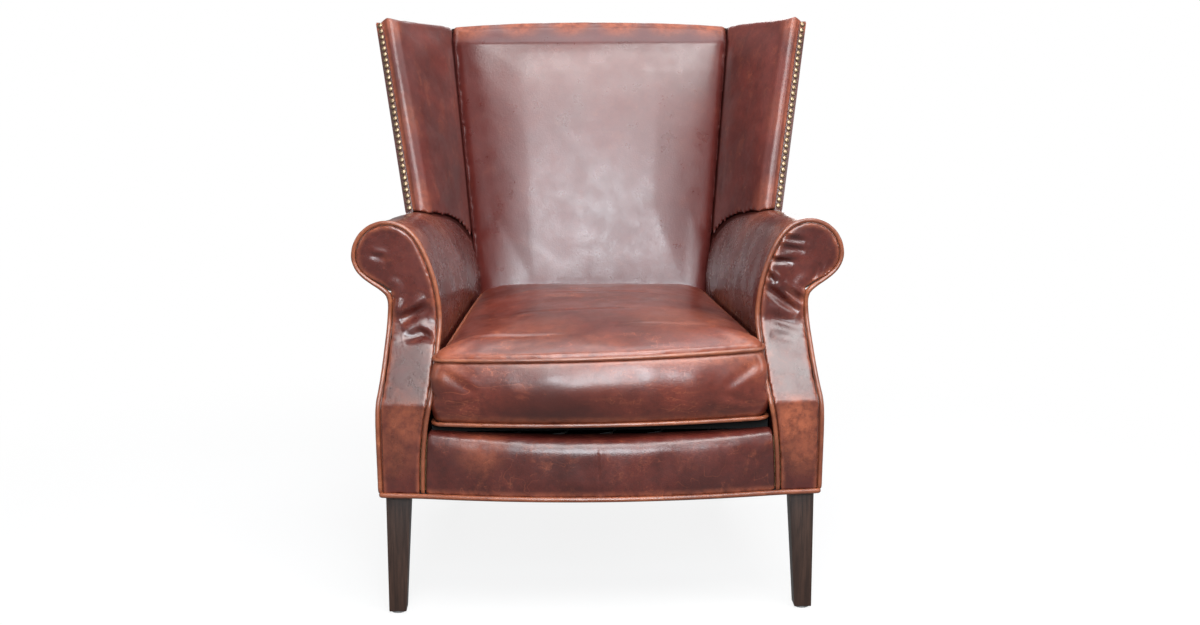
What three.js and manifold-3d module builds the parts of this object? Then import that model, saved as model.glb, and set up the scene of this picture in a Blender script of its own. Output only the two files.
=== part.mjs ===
// A wing-back club chair in worn leather: hardwood frame, sprung seat, scroll arms, winged back, loose cushion.
// Millimetres, +Z up. The chair faces -Y, and "left" is the left of someone who looks at it from the front.
// Heights are measured from the floor, and depths from the front face of the arm blocks.
import * as THREE from "three";
import { mergeVertices } from "three/addons/utils/BufferGeometryUtils.js";
import Module from "manifold-3d";

const wasm = await Module();
wasm.setup();

// Driving dimensions
const clearance = 0.3; // air between pieces that touch
const weltRadius = 4; // leather piping round the facings, cushion and bottom edge
const panelThickness = 5; // outside arm, wing and back panels

const upholsteryBottom = 213.3;
const legTopWidth = 41;
const legFootWidth = 29;
const legSetback = 9; // front leg behind the arm block's face
const legOuterX = 358.5;
const rearLegRake = 45;
const glideHeight = 3;
const glideDiameter = 24;

const armFrontX = 368; // half width over the arm blocks
const armConverge = THREE.MathUtils.degToRad(5.5); // each arm turns in towards the back
const armFootX = 296; // inner edge of the arm facing at the bottom
const armKneeX = 282; // at the knee
const armWaistX = 276; // and at its narrowest
const armFallRate = 0.054; // the roll drops this much for each unit of depth
const kneeHeight = 365;
const slopeTopHeight = 490;
const scrollSetback = 85;
const scrollX = 363;
const scrollRadius = 59;
const neckX = 362;
const facingRecess = 2; // the facing lies this far behind its welt

const frontRailFace = 22;
const railThickness = 28;
const railTop = 300;
const frameInnerX = 322; // inner face of the arm posts and side rails
const armPostThickness = 32;
const armPostBack = 150;
const armBoardWidth = 70;
const armBoardThickness = 28;

const bowDepth = 31; // how far the front border bows out at its middle
const borderEndHeight = 319;
const borderDip = 10;
const borderRoll = 18;

const backThickness = 120.8; // from the inside back at the seat to the outside back's foot
const seatBackHeight = 470;
const innerRake = 0.276;
const outerBackDepth = 660.8; // outside back at the bottom edge
const outerRake = 0.195;
const backSeatHalfWidth = 228;
const backFlare = 0.1006;
const backTopHeight = 986;
const backTopDrop = 9; // the crest is this much lower at its ends
const backCrown = 12;
const backPostWidth = 36;
const backPostDepth = 39.4;
const backPostFootX = 280;
const backPostLean = 0.0212;
const crestRailDepth = 30;
const crestRailHeight = 52;
const lowerRailBottom = 336;
const lowerRailHeight = 55;
const strapWidth = 55;
const strapThickness = 2;
const strapSpacing = 130;
const strapCount = 3;

const wingFootX = 349;
const wingFootDepth = 375;
const wingFlare = 0.178;
const wingSweep = 0.44;
const wingRoll = 46; // thickness of the wing at its rolled front edge
const wingPostWidth = 30;
const wingPostThickness = 24;
const wingPostInset = 18;
const wingRailHeight = 38;
const wingRailBelowTop = 26;
const bandWidth = 15;
const bandThickness = 2;
const nailRadius = 5.3;
const nailHeight = 2.8;
const nailPitch = 12;
const nailInset = 9;

const deckThickness = 16;
const deckTop = 330;
const deckHalfWidth = 283;
const springCount = 5;
const springSpacing = 80;
const springWire = 2; // radius of the wire
const springSwing = 24;
const springWave = 110;
const springArch = 8;
const cushionFront = -8;
const cushionBow = 24;
const cushionHalfWidth = 271;
const cushionSeamHeight = 446;
const cushionRise = 16; // the top seam is this much higher at the back
const cushionCrown = 34;
const cushionCorner = 30;
const dustCoverThickness = 2;
const dustCoverInset = 9;

// Heights and places worked out from them
const seatBackDepth = outerBackDepth - backThickness;
const neckHeight = slopeTopHeight + 48; // under the scroll
const scrollHeight = neckHeight + scrollRadius + 1; // middle of the scroll
const armBoardBottom = neckHeight + 24;
const rollEndBottom = neckHeight - 26; // the roll is closed at its rear end above this height
const wingFootHeight = scrollHeight + scrollRadius - 20; // the wing stands on the roll
const rollStart = backTopHeight - 41; // where the inside back begins to roll over
const backPostTop = backTopHeight - 26;
const wingCornerHeight = backTopHeight;
const wingPeakHeight = wingCornerHeight + 13;
const armPadBottom = railTop + clearance;
const boardTop = armBoardBottom + armBoardThickness;
const legTop = upholsteryBottom - clearance;
const weltSeat = weltRadius + 5 * clearance; // from a welt's middle to what it lies on
const facingThickness = 2 * (weltSeat + clearance);
const bottomWeltHeight = upholsteryBottom - weltRadius - clearance;
const sideEdge = -10; // cutting solids start past the chair's middle
const farOut = outerBackDepth * 1.4; // and end well outside it
const ahead = scrollSetback; // and start in front of it
const cutFloor = upholsteryBottom * 0.7;
const cutCeiling = backTopHeight * 1.1;

const outerBack = (z) => outerBackDepth + (z - upholsteryBottom) * outerRake;
const postRear = (z) => outerBack(z) - panelThickness - clearance;
const postFront = (z) => postRear(z) - backPostDepth;
const innerBack = (z) => seatBackDepth + (z - seatBackHeight) * innerRake;
const backHalfWidth = (z) => backSeatHalfWidth + (z - seatBackHeight) * backFlare;
const postOuter = (z) => backPostFootX + (z - upholsteryBottom) * backPostLean;
const postInner = (z) => postOuter(z) - backPostWidth;
const wingRearX = (z) => postOuter(z) + clearance + panelThickness;

const shared = {
  leather: new THREE.MeshStandardMaterial({ color: 0x6e2c22, roughness: 0.38 }),
  piping: new THREE.MeshStandardMaterial({ color: 0x8f4529, roughness: 0.42 }),
  legWood: new THREE.MeshStandardMaterial({ color: 0x33211c, roughness: 0.45 }),
  frameWood: new THREE.MeshStandardMaterial({ color: 0xc19a6b, roughness: 0.7 }),
  steel: new THREE.MeshStandardMaterial({ color: 0x8a8d90, roughness: 0.4, metalness: 0.9 }),
  brass: new THREE.MeshStandardMaterial({ color: 0x8c6a35, roughness: 0.35, metalness: 0.9 }),
  cloth: new THREE.MeshStandardMaterial({ color: 0x241f1e, roughness: 0.95 }),
  webbing: new THREE.MeshStandardMaterial({ color: 0x5b4a38, roughness: 0.9 }),
};

// Geometry helpers

function positionsOnly(geometry) {
  const bare = new THREE.BufferGeometry();
  bare.setAttribute("position", geometry.getAttribute("position").clone());
  if (geometry.index) bare.setIndex(geometry.index.clone());
  return mergeVertices(bare, 1e-3);
}

function solid(geometry) {
  const merged = positionsOnly(geometry);
  return new wasm.Manifold(
    new wasm.Mesh({
      numProp: 3,
      vertProperties: merged.attributes.position.array,
      triVerts: new Uint32Array(merged.index.array),
    }),
  );
}

function geometryOf(manifold) {
  const mesh = manifold.getMesh();
  const geometry = new THREE.BufferGeometry();
  geometry.setAttribute("position", new THREE.BufferAttribute(new Float32Array(mesh.vertProperties), 3));
  geometry.setIndex(new THREE.BufferAttribute(new Uint32Array(mesh.triVerts), 1));
  geometry.computeVertexNormals();
  return geometry;
}

// The first geometry with each of the others cut out of it.
function cut(geometry, ...cutters) {
  let rest = solid(geometry);
  for (const cutter of cutters) rest = rest.subtract(solid(cutter));
  return geometryOf(rest);
}

const extrude = (shape, depth) =>
  new THREE.ExtrudeGeometry(shape, { depth, bevelEnabled: false, curveSegments: 6 });

// A shape drawn in (x, z), extruded from y0 back to y1.
const alongY = (shape, y0, y1) => extrude(shape, y1 - y0).rotateX(Math.PI / 2).translate(0, y1, 0);

// A shape drawn in (y, z), extruded from x0 to x1.
function alongX(shape, x0, x1) {
  const axes = new THREE.Matrix4().makeBasis(
    new THREE.Vector3(0, 1, 0),
    new THREE.Vector3(0, 0, 1),
    new THREE.Vector3(1, 0, 0),
  );
  return extrude(shape, x1 - x0).applyMatrix4(axes).translate(x0, 0, 0);
}

// A shape drawn in (x, y), extruded from z0 up to z1.
const alongZ = (shape, z0, z1) => extrude(shape, z1 - z0).translate(0, 0, z0);

const polygon = (...pairs) => new THREE.Shape(pairs.map(([a, b]) => new THREE.Vector2(a, b)));

function capFaces(ring, flat) {
  const contour = ring.map(flat);
  const faces = THREE.ShapeUtils.triangulateShape(contour, []);
  const turn = faces.reduce((sum, face) => sum + THREE.ShapeUtils.area(face.map((i) => contour[i])), 0);
  const sameTurn = turn > 0 === THREE.ShapeUtils.area(contour) > 0;
  return sameTurn ? faces : faces.map(([a, b, c]) => [a, c, b]);
}

// A closed body from its points and faces, turned so that its faces point outwards.
function closedBody(points, faces) {
  const volume = faces.reduce((sum, [a, b, c]) => sum + points[a].dot(points[b].clone().cross(points[c])), 0);
  const outward = volume > 0 ? faces : faces.map(([a, b, c]) => [a, c, b]);
  const geometry = new THREE.BufferGeometry().setFromPoints(points);
  geometry.setIndex(outward.flat());
  geometry.computeVertexNormals();
  return geometry;
}

// A closed body through rings of as many points each, with flat ends. flat turns a ring's point into its plan.
function loft(rings, flat = (p) => new THREE.Vector2(p.x, p.y)) {
  const count = rings[0].length;
  const faces = [];
  for (let level = 0; level + 1 < rings.length; level++) {
    for (let i = 0; i < count; i++) {
      const next = (i + 1) % count;
      const low = level * count;
      const high = low + count;
      faces.push([low + i, low + next, high + i], [low + next, high + next, high + i]);
    }
  }
  const last = (rings.length - 1) * count;
  for (const [a, b, c] of capFaces(rings[0], flat)) faces.push([a, c, b]);
  for (const [a, b, c] of capFaces(rings.at(-1), flat)) faces.push([last + a, last + b, last + c]);
  return closedBody(rings.flat(), faces);
}

// A loft of upright height, whose plan at each level comes from a function of that level.
const tower = (levels, plan) =>
  loft(levels.map((z) => plan(z).map(([x, y, lift = 0]) => new THREE.Vector3(x, y, z + lift))));

// A round cord of leather or wire along an open curve.
function cordAlong(curve, radius, steps, sides = 6) {
  const corner = (i) => {
    const turn = (i * 2 * Math.PI) / sides;
    return new THREE.Vector2(radius * Math.cos(turn), radius * Math.sin(turn));
  };
  const section = new THREE.Shape(Array.from({ length: sides }, (_, i) => corner(i)));
  return new THREE.ExtrudeGeometry(section, { steps, extrudePath: curve, bevelEnabled: false });
}

// A welt that runs round through all the points and meets itself. Its corners are mitred.
function cordRound(points, radius, sides = 6) {
  const up = new THREE.Vector3(0, 0, 1);
  const count = points.length;
  const faces = [];
  const places = points.flatMap((point, i) => {
    const before = point.clone().sub(points.at(i - 1)).normalize();
    const after = points[(i + 1) % count].clone().sub(point).normalize();
    const side = before.clone().add(after).normalize().cross(up).normalize();
    side.divideScalar(Math.abs(side.dot(after.clone().cross(up).normalize())));
    const next = ((i + 1) % count) * sides;
    return Array.from({ length: sides }, (_, k) => {
      const turn = (k * 2 * Math.PI) / sides;
      const other = (k + 1) % sides;
      faces.push([i * sides + k, next + k, i * sides + other], [next + k, next + other, i * sides + other]);
      return point
        .clone()
        .addScaledVector(side, radius * Math.cos(turn))
        .addScaledVector(up, radius * Math.sin(turn));
    });
  });
  return closedBody(places, faces);
}

const chair = new THREE.Group();

function add(name, geometry, material, parent = chair) {
  const mesh = new THREE.Mesh(geometry, material.clone());
  mesh.name = name;
  parent.add(mesh);
  return mesh;
}

// What the right side has, the left side has mirrored.
function addPair(name, geometry, material) {
  for (const [side, way] of [
    ["left", -1],
    ["right", 1],
  ]) {
    add(`${name}_${side}`, geometry, material).scale.x = way;
  }
}

// The right arm's own frame: it turns about the arm block's outer front corner.
const armTurn = new THREE.Matrix4()
  .makeTranslation(armFrontX, 0, 0)
  .multiply(new THREE.Matrix4().makeRotationZ(armConverge))
  .multiply(new THREE.Matrix4().makeTranslation(-armFrontX, 0, 0));

function armPoint(across, along) {
  const point = new THREE.Vector3(across, along, 0).applyMatrix4(armTurn);
  return [point.x, point.y];
}

// The upper arm falls towards the back. The lower arm stays level.
function inArmFrame(geometry) {
  const place = geometry.getAttribute("position");
  for (let i = 0; i < place.count; i++) {
    const share = THREE.MathUtils.smoothstep(place.getZ(i), slopeTopHeight, neckHeight);
    const behind = place.getY(i) - scrollSetback;
    place.setZ(i, place.getZ(i) - share * behind * armFallRate);
  }
  return geometry.applyMatrix4(armTurn);
}

// Arms

// Where the front face of an arm lies: upright to the knee, then sloping back to the scroll.
function faceSetback(z) {
  return scrollSetback * THREE.MathUtils.clamp((z - kneeHeight) / (slopeTopHeight - kneeHeight), 0, 1);
}

// The arm's outline from the front: block, waist, scroll and neck.
function armOutline(grow = 0) {
  const path = new THREE.Path();
  const radius = scrollRadius + grow;
  const start = THREE.MathUtils.degToRad(150);
  const end = THREE.MathUtils.degToRad(-10);
  const rollX = scrollX + radius * Math.cos(start);
  const rollZ = scrollHeight + radius * Math.sin(start);
  const bottom = upholsteryBottom - Math.max(grow, 0);
  path.moveTo(armFootX - grow, bottom);
  path.quadraticCurveTo(armFootX - grow, kneeHeight - 55, armKneeX - grow, kneeHeight);
  path.quadraticCurveTo(armWaistX - grow, kneeHeight + 24, armWaistX - grow, slopeTopHeight);
  path.bezierCurveTo(
    armWaistX - grow,
    slopeTopHeight + 60,
    rollX - 35 * Math.sin(start),
    rollZ + 35 * Math.cos(start),
    rollX,
    rollZ,
  );
  path.absarc(scrollX, scrollHeight, radius, start, end, true);
  const tipX = scrollX + radius * Math.cos(end);
  const tipZ = scrollHeight + radius * Math.sin(end);
  path.bezierCurveTo(tipX - 4, tipZ - 20, neckX + 23, neckHeight + 14 - grow, neckX + grow, neckHeight - grow);
  path.lineTo(neckX + grow, slopeTopHeight);
  path.quadraticCurveTo(neckX + grow, kneeHeight + 40, armFrontX + grow, kneeHeight);
  path.lineTo(armFrontX + grow, bottom);
  return path.getPoints(5);
}

const armBody = (grow = 0) => inArmFrame(alongY(new THREE.Shape(armOutline(grow)), -ahead * 0.7, farOut));

// All that lies between two depths behind the arm's front face.
function faceSlab(front, back) {
  const levels = [upholsteryBottom - 30, kneeHeight, slopeTopHeight, scrollHeight + scrollRadius + 30];
  const nearSide = levels.map((z) => [faceSetback(z) + front, z]);
  const farSide = levels.map((z) => [faceSetback(z) + back, z]).reverse();
  return alongX(polygon(...nearSide, ...farSide), sideEdge, farOut).applyMatrix4(armTurn);
}

// The welt of an arm facing runs up the inner edge, round the scroll and down the outer edge.
function facingWelt() {
  const outline = armOutline();
  const low = upholsteryBottom + clearance;
  const ends = [outline[0].setY(low), outline.at(-1).setY(low)];
  const route = [ends[0], ...outline.slice(1, -1), ends[1]];
  const curve = new THREE.CatmullRomCurve3(
    route.map((p) => new THREE.Vector3(p.x, faceSetback(p.y) + weltSeat - clearance, p.y)),
    false,
    "centripetal",
  );
  return cordAlong(curve, weltRadius, 48).applyMatrix4(armTurn);
}

// The front border between the arms bows forward and dips a little at its middle.
const [borderEnd, borderFrontEnd] = armPoint(armFootX, 0);
const bowAt = (x) => 1 - Math.min(Math.abs(x) / borderEnd, 1) ** 2;
const borderFront = (x) => borderFrontEnd - bowDepth * bowAt(x);
const borderTop = (x) => borderEndHeight - borderDip * bowAt(x);

// The bottom welt runs right round the chair's lower edge.
function bottomWelt() {
  const rearCorner = armPoint(armFrontX, outerBackDepth)[0];
  const right = [
    ...[0.2, 0.4, 0.6, 0.8, 0.95].map((share) => [share * borderEnd, borderFront(share * borderEnd)]),
    armPoint(armFootX + 10, 0),
    armPoint(armFrontX - 10, 0),
    armPoint(armFrontX - 3, 1),
    armPoint(armFrontX, 6),
    armPoint(armFrontX, outerBackDepth / 2),
    armPoint(armFrontX, outerBackDepth - 14),
    [rearCorner - 2, outerBackDepth - 3],
    [rearCorner - 8, outerBackDepth],
  ];
  const left = right.map(([x, y]) => [-x, y]).reverse();
  const route = [[0, borderFront(0)], ...right, [0, outerBackDepth], ...left];
  return cordRound(
    route.map(([x, y]) => new THREE.Vector3(x, y, bottomWeltHeight)),
    weltRadius,
    8,
  );
}

// What the back takes from its neighbours: the bay of the posts and all behind the outside panels.
const backBay = () =>
  tower([cutFloor, cutCeiling], (z) => [
    [sideEdge, postFront(z) - clearance],
    [postOuter(z) + clearance, postFront(z) - clearance],
    [postOuter(z) + clearance, farOut * 2],
    [sideEdge, farOut * 2],
  ]);
const behindBack = () =>
  tower([cutFloor, cutCeiling], (z) => [
    [sideEdge, postRear(z)],
    [farOut, postRear(z)],
    [farOut, farOut * 2],
    [sideEdge, farOut * 2],
  ]);

// The closed rear end of the arm roll: all behind the front faces of the back posts, above the neck.
const behindPosts = (gap) =>
  tower([rollEndBottom, cutCeiling], (z) => [
    [sideEdge, postFront(z) - gap],
    [farOut, postFront(z) - gap],
    [farOut, farOut * 2],
    [sideEdge, farOut * 2],
  ]);

function armBoard(grow = 0) {
  const shape = polygon(
    [frameInnerX - grow, armBoardBottom - grow],
    [frameInnerX + armBoardWidth + grow, armBoardBottom - grow],
    [frameInnerX + armBoardWidth + grow, boardTop + grow],
    [frameInnerX - grow, boardTop + grow],
  );
  const front = scrollSetback + facingThickness + clearance;
  return cut(inArmFrame(alongY(shape, front - grow, outerBackDepth)), behindPosts(2 * clearance - grow));
}

function makeArms() {
  const outline = new THREE.Shape(armOutline(-weltSeat));
  const facing = solid(alongY(outline, -ahead, ahead * 2).applyMatrix4(armTurn)).intersect(
    solid(faceSlab(facingRecess, facingThickness)),
  );
  addPair("arm_facing", geometryOf(facing), shared.leather);
  addPair("arm_facing_welt", facingWelt(), shared.piping);

  const behindFacing = faceSlab(-ahead * 2, facingThickness + clearance);
  const board = armBoardWidth + frameInnerX + clearance;
  const hollow = inArmFrame(
    alongY(
      polygon(
        [frameInnerX - clearance, boardTop + clearance],
        [board, boardTop + clearance],
        [board, armBoardBottom - clearance],
        [neckX - panelThickness - clearance, armBoardBottom - clearance],
        [neckX - panelThickness - clearance, neckHeight],
        [farOut, neckHeight],
        [farOut, 0],
        [0, 0],
        [0, armPadBottom],
        [frameInnerX - clearance, armPadBottom],
      ),
      -ahead,
      farOut * 1.05,
    ),
  );
  const pad = cut(
    armBody(),
    cut(hollow, behindPosts(clearance)),
    behindFacing,
    backBay(),
    behindBack(),
    backPad(clearance),
    wingPost(clearance),
  );
  addPair("inside_arm", pad, shared.leather);

  const notPanel = inArmFrame(
    alongY(
      polygon(
        [0, 0],
        [armFrontX - panelThickness, 0],
        [armFrontX - panelThickness, kneeHeight],
        [neckX - panelThickness, slopeTopHeight],
        [neckX - panelThickness, neckHeight - clearance],
        [farOut, neckHeight - clearance],
        [farOut, farOut],
        [0, farOut],
      ),
      -ahead,
      farOut * 1.05,
    ),
  );
  addPair("outside_arm", cut(armBody(), notPanel, behindFacing, behindBack()), shared.leather);

  const levels = [upholsteryBottom, kneeHeight, slopeTopHeight, armBoardBottom - clearance];
  const profile = polygon(
    ...levels.map((z) => [faceSetback(z) + facingThickness + clearance, z]),
    [armPostBack, levels.at(-1)],
    [armPostBack, levels[0]],
  );
  const post = alongX(profile, frameInnerX, frameInnerX + armPostThickness);
  addPair("arm_post", inArmFrame(post), shared.frameWood);
  addPair("arm_board", armBoard(), shared.frameWood);
}

// Seat frame, springs and deck

const frontRailBack = frontRailFace + railThickness;

function makeSeatFrame() {
  const inner = frameInnerX - clearance;
  const railEnds = [armPoint(inner, frontRailFace + 6), armPoint(inner, frontRailBack + 6)];
  const frontRail = polygon(
    [-railEnds[0][0], frontRailFace],
    [railEnds[0][0], frontRailFace],
    [railEnds[1][0], frontRailBack],
    [-railEnds[1][0], frontRailBack],
  );
  add("front_rail", alongZ(frontRail, upholsteryBottom, railTop), shared.frameWood);

  const sideRail = alongY(
    polygon(
      [frameInnerX, upholsteryBottom],
      [frameInnerX + railThickness, upholsteryBottom],
      [frameInnerX + railThickness, railTop],
      [frameInnerX, railTop],
    ),
    armPostBack + clearance,
    farOut,
  ).applyMatrix4(armTurn);
  addPair("side_rail", cut(sideRail, backBay(), behindBack()), shared.frameWood);

  const rearRail = tower([upholsteryBottom, railTop], (z) => {
    const half = postInner(z) - clearance;
    return [
      [-half, postRear(z) - railThickness],
      [half, postRear(z) - railThickness],
      [half, postRear(z)],
      [-half, postRear(z)],
    ];
  });
  add("rear_rail", rearRail, shared.frameWood);

  const blockLeg = 70;
  const blockBottom = upholsteryBottom + 8;
  const blockTop = railTop - 12;
  const frontCorner = armPoint(inner, frontRailBack + 6)[0] - clearance;
  const frontBlock = polygon(
    [frontCorner - blockLeg, frontRailBack + clearance],
    [frontCorner, frontRailBack + clearance],
    armPoint(inner, frontRailBack + blockLeg),
  );
  addPair("front_corner_block", alongZ(frontBlock, blockBottom, blockTop), shared.frameWood);
  const rearBlock = tower([blockBottom, blockTop], (z) => {
    const side = postInner(z) - clearance;
    const rear = postRear(z) - railThickness - clearance;
    return [
      [side, rear - blockLeg],
      [side, rear],
      [side - blockLeg, rear],
    ];
  });
  addPair("rear_corner_block", rearBlock, shared.frameWood);
}

function makeSprings() {
  const front = frontRailFace + railThickness / 2;
  const back = postRear(railTop) - railThickness / 2;
  const low = railTop + clearance + springWire;
  const halfWaves = Math.round((back - front) / springWave) * 2;
  const points = [new THREE.Vector3(0, front, low)];
  for (let i = 0; i < halfWaves; i++) {
    for (const share of [0.25, 0.75]) {
      const along = (i + share) / halfWaves;
      const swing = i % 2 ? -springSwing : springSwing;
      const rise = springArch * Math.sin(Math.PI * along);
      points.push(new THREE.Vector3(swing, THREE.MathUtils.lerp(front, back, along), low + rise));
    }
  }
  points.push(new THREE.Vector3(0, back, low));
  const wire = cordAlong(new THREE.CatmullRomCurve3(points), springWire, halfWaves * 4, 4);
  for (let i = 0; i < springCount; i++) {
    const spring = add(`seat_spring_${i + 1}`, wire, shared.steel);
    spring.position.x = (i - (springCount - 1) / 2) * springSpacing;
  }
}

function makeDeck() {
  const front = frontRailFace;
  const back = postFront(deckTop) - 20;
  const right = [armPoint(deckHalfWidth, front + 7), armPoint(deckHalfWidth, back + 7)];
  const deck = polygon([-right[0][0], front], [right[0][0], front], [right[1][0], back], [-right[1][0], back]);
  add("seat_deck", alongZ(deck, deckTop - deckThickness, deckTop), shared.cloth);
}

// The arm's inner edge at one height, seen from the front.
function armInnerEdge(z) {
  const outline = armOutline();
  const above = outline.findIndex((p) => p.y >= z);
  const [low, high] = [outline[above - 1], outline[above]];
  return armPoint(THREE.MathUtils.mapLinear(z, low.y, high.y, low.x, high.x), 0)[0];
}

function makeFrontBorder() {
  const rear = frontRailFace - clearance;
  const ring = (share) => {
    const place = (y, z) => {
      const end = armInnerEdge(Math.max(z, upholsteryBottom + 1)) - weltSeat;
      return new THREE.Vector3(share * end, y, z);
    };
    const face = borderFront(share * borderEnd);
    const top = borderTop(share * borderEnd);
    return [
      place(rear, upholsteryBottom),
      place(face, upholsteryBottom),
      place(face, upholsteryBottom + 50),
      place(face, top - borderRoll),
      place(face + borderRoll * 0.3, top - borderRoll * 0.3),
      place(face + borderRoll, top),
      place(rear, top),
      place(rear, upholsteryBottom + 50),
    ];
  };
  const shares = [-1, -0.8, -0.6, -0.4, -0.2, 0, 0.2, 0.4, 0.6, 0.8, 1];
  add("front_border", loft(shares.map(ring), (p) => new THREE.Vector2(p.y, p.z)), shared.leather);
}

function makeDustCover() {
  const nearEnd = borderEnd * 0.8;
  const right = [
    [nearEnd, borderFront(nearEnd) + dustCoverInset],
    armPoint(armFrontX - dustCoverInset, dustCoverInset),
    armPoint(armFrontX - dustCoverInset, outerBackDepth - dustCoverInset - 3),
  ];
  const left = right.map(([x, y]) => [-x, y]).reverse();
  const plan = polygon([0, borderFront(0) + dustCoverInset], ...right, ...left);
  const top = upholsteryBottom - clearance;
  const cover = solid(alongZ(plan, top - dustCoverThickness, top));
  const mirror = new THREE.Matrix4().makeScale(-1, 1, 1);
  let rest = cover;
  for (const leg of [frontLeg(clearance), rearLeg(clearance)]) {
    const right = solid(leg);
    rest = rest.subtract(right).subtract(right.transform(mirror.elements));
  }
  add("dust_cover", geometryOf(rest), shared.cloth);
}

// Legs

const rectangle = (x0, x1, y0, y1) => [
  [x0, y0],
  [x1, y0],
  [x1, y1],
  [x0, y1],
];

// The front leg tapers on its two inner faces.
function frontLeg(grow = 0) {
  return tower([glideHeight + clearance - grow, legTop + grow], (z) => {
    const width = z > legTop / 2 ? legTopWidth : legFootWidth;
    return rectangle(
      legOuterX - width - grow,
      legOuterX + grow,
      legSetback - grow,
      legSetback + width + grow,
    );
  });
}

// The rear leg stands under the back post and rakes backwards.
function rearLeg(grow = 0) {
  const outer = postOuter(upholsteryBottom);
  const rear = postRear(upholsteryBottom);
  return tower([glideHeight + clearance - grow, legTop + grow], (z) => {
    const upper = z > legTop / 2;
    const width = upper ? legTopWidth : legFootWidth;
    const back = rear + (upper ? 0 : rearLegRake);
    return rectangle(outer - width - grow, outer + grow, back - width - grow, back + grow);
  });
}

function makeLegs() {
  addPair("front_leg", frontLeg(), shared.legWood);
  addPair("rear_leg", rearLeg(), shared.legWood);
  const glide = new THREE.CylinderGeometry(glideDiameter / 2, glideDiameter / 2, glideHeight, 16);
  glide.rotateX(Math.PI / 2);
  const half = legFootWidth / 2;
  const places = {
    front: [legOuterX - half, legSetback + half],
    rear: [postOuter(upholsteryBottom) - half, postRear(upholsteryBottom) + rearLegRake - half],
  };
  for (const [row, [x, y]] of Object.entries(places)) {
    for (const [side, way] of [
      ["left", -1],
      ["right", 1],
    ]) {
      add(`${row}_glide_${side}`, glide, shared.steel).position.set(way * x, y, glideHeight / 2);
    }
  }
}

// Back

// The padded inside back rolls over the crest rail. Each point of its section has a half width of its own.
function backPad(grow = 0) {
  const bottom = deckTop + clearance - grow;
  const [lowPad, midPad, highPad] = [0.316, 0.653, 0.884].map((share) =>
    THREE.MathUtils.lerp(seatBackHeight, rollStart, share),
  );
  const across = [-1, -0.8, -0.5, 0, 0.5, 0.8, 1];
  const rings = across.map((share) => {
    const crown = backCrown * (1 - share * share);
    const top = backTopHeight - backTopDrop * share * share + grow;
    const front = (z, puff) => innerBack(z) - crown * puff - grow;
    const narrow = (z) => backHalfWidth(z) + grow;
    const wide = (z) => postOuter(z) + grow;
    const bay = postFront(backPostTop);
    const section = [
      [front(bottom, 0), bottom, narrow(bottom)],
      [front(seatBackHeight, 0), seatBackHeight, narrow(seatBackHeight)],
      [front(lowPad, 1), lowPad, narrow(lowPad)],
      [front(midPad, 1), midPad, narrow(midPad)],
      [front(highPad, 0.8), highPad, narrow(highPad)],
      [front(rollStart, 0.3), rollStart, narrow(rollStart)],
      [front(rollStart, 0) + 20, top - 12, narrow(top - 12)],
      [front(rollStart, 0) + 48, top, narrow(top)],
      [postFront(top - 3) - 0.1, top - 3, narrow(top - 3)],
      [postFront(top - 3) + 0.1, top - 3, wide(top - 3)],
      [outerBack(top) - 8, top - 6, wide(top)],
      [outerBack(backPostTop), backPostTop + clearance + 8, wide(backPostTop)],
      [outerBack(backPostTop), backPostTop + clearance - grow, wide(backPostTop)],
      [bay + 0.1, backPostTop + clearance - grow, wide(backPostTop)],
      [bay - clearance, backPostTop + clearance - grow, narrow(backPostTop)],
      [postFront(bottom) - clearance, bottom, narrow(bottom)],
    ];
    return section.map(([y, z, half]) => new THREE.Vector3(share * half, y, z));
  });
  return loft(rings, (p) => new THREE.Vector2(p.y, p.z));
}

function makeBack() {
  add("inside_back", backPad(), shared.leather);

  const post = tower([upholsteryBottom, backPostTop], (z) =>
    rectangle(postInner(z), postOuter(z), postFront(z), postRear(z)),
  );
  addPair("back_post", post, shared.frameWood);

  const railFace = (z) => postFront(z) + strapThickness + 2 * clearance;
  const rail = (low, high) =>
    tower([low, high], (z) => {
      const half = postInner(z) - clearance;
      return rectangle(-half, half, railFace(z), railFace(z) + crestRailDepth);
    });
  add("crest_rail", rail(backPostTop - crestRailHeight, backPostTop), shared.frameWood);
  add("lower_back_rail", rail(lowerRailBottom, lowerRailBottom + lowerRailHeight), shared.frameWood);

  const strap = tower([lowerRailBottom + 3, backPostTop - 3], (z) =>
    rectangle(-strapWidth / 2, strapWidth / 2, postFront(z) + clearance, railFace(z) - clearance),
  );
  for (let i = 0; i < strapCount; i++) {
    const placed = add(`back_strap_${i + 1}`, strap, shared.webbing);
    placed.position.x = (i - (strapCount - 1) / 2) * strapSpacing;
  }

  // The outside back panel meets the outside arms below the roll and the wings above it.
  const armRearX = (across, z) => armPoint(across, outerBack(z))[0];
  const edges = [
    [upholsteryBottom, armRearX(armFrontX, upholsteryBottom)],
    [kneeHeight, armRearX(armFrontX, kneeHeight)],
    [slopeTopHeight, armRearX(neckX, slopeTopHeight)],
    [wingFootHeight, wingRearX(wingFootHeight)],
    [backPostTop, wingRearX(backPostTop)],
  ];
  const panel = tower(
    edges.map(([z]) => z),
    (z) => {
      const half = edges.find(([level]) => level === z)[1];
      return rectangle(-half, half, outerBack(z) - panelThickness, outerBack(z));
    },
  );
  add("outside_back", panel, shared.leather);
}

// Wings

// A point of the right wing at one height: how far behind its front edge, and how far in from its outer face.
function wingPoint(z, behind, inset) {
  const front = new THREE.Vector2(
    wingFootX + (z - wingFootHeight) * wingFlare,
    wingFootDepth + (z - wingFootHeight) * wingSweep,
  );
  const rear = new THREE.Vector2(wingRearX(z), postFront(z));
  const back = rear.sub(front).normalize();
  return [front.x + behind * back.x - inset * back.y, front.y + behind * back.y + inset * back.x];
}

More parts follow.
